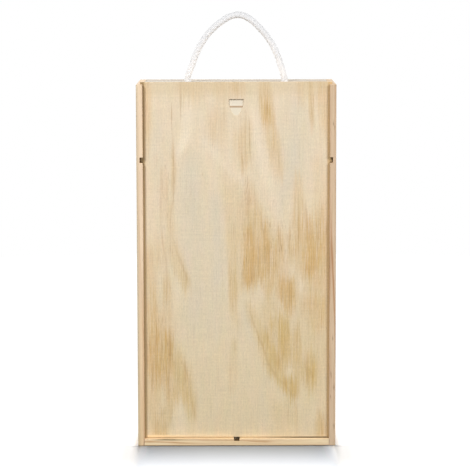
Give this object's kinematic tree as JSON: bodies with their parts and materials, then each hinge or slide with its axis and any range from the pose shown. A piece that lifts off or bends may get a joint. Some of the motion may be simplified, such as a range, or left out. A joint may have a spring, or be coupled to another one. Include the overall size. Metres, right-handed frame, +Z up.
{
  "type": "wooden wine box",
  "caption": "Upright pine box for wine bottles, with a plywood lid that slides up in grooves, inner neck rest and divider, and a twisted rope carrying handle.",
  "frame": {"origin": "centre of the base, on the surface the box stands on", "axes": "+Z up along the height, -Y towards the front with the sliding lid, +X to the right seen from the front"},
  "size_m": [0.2, 0.108, 0.4373],
  "materials": {
    "pine_board": "planed, raw pine",
    "pine_plywood": "raw plywood",
    "lid_plywood": "sanded, raw rotary-cut pine plywood",
    "rope": "white twisted rope",
    "brad_steel": "bright wire"
  },
  "bodies": {
    "box": {"side_left": "pine_board", "side_right": "pine_board", "top_board": "pine_board", "bottom_board": "pine_board", "back_panel": "pine_plywood", "divider": "pine_plywood", "neck_rest": "pine_plywood", "rope_end_left": "rope", "rope_end_right": "rope", "side_brads": "brad_steel", "back_brads": "brad_steel"},
    "lid": {"lid": "lid_plywood"},
    "handle": {"rope_handle": "rope"}
  },
  "joints": [
    {"name": "lid_slide", "type": "slide", "parent": "box", "child": "lid", "axis": [0, 0, 1], "range_m": [0, 0.36]},
    {"name": "handle_tilt", "type": "hinge", "parent": "box", "child": "handle", "pos_m": [0, 0.0038, 0.3697], "axis": [1, 0, 0], "range_deg": [-85, 38], "stiffness_Nm_per_rad": 0.02}
  ]
}
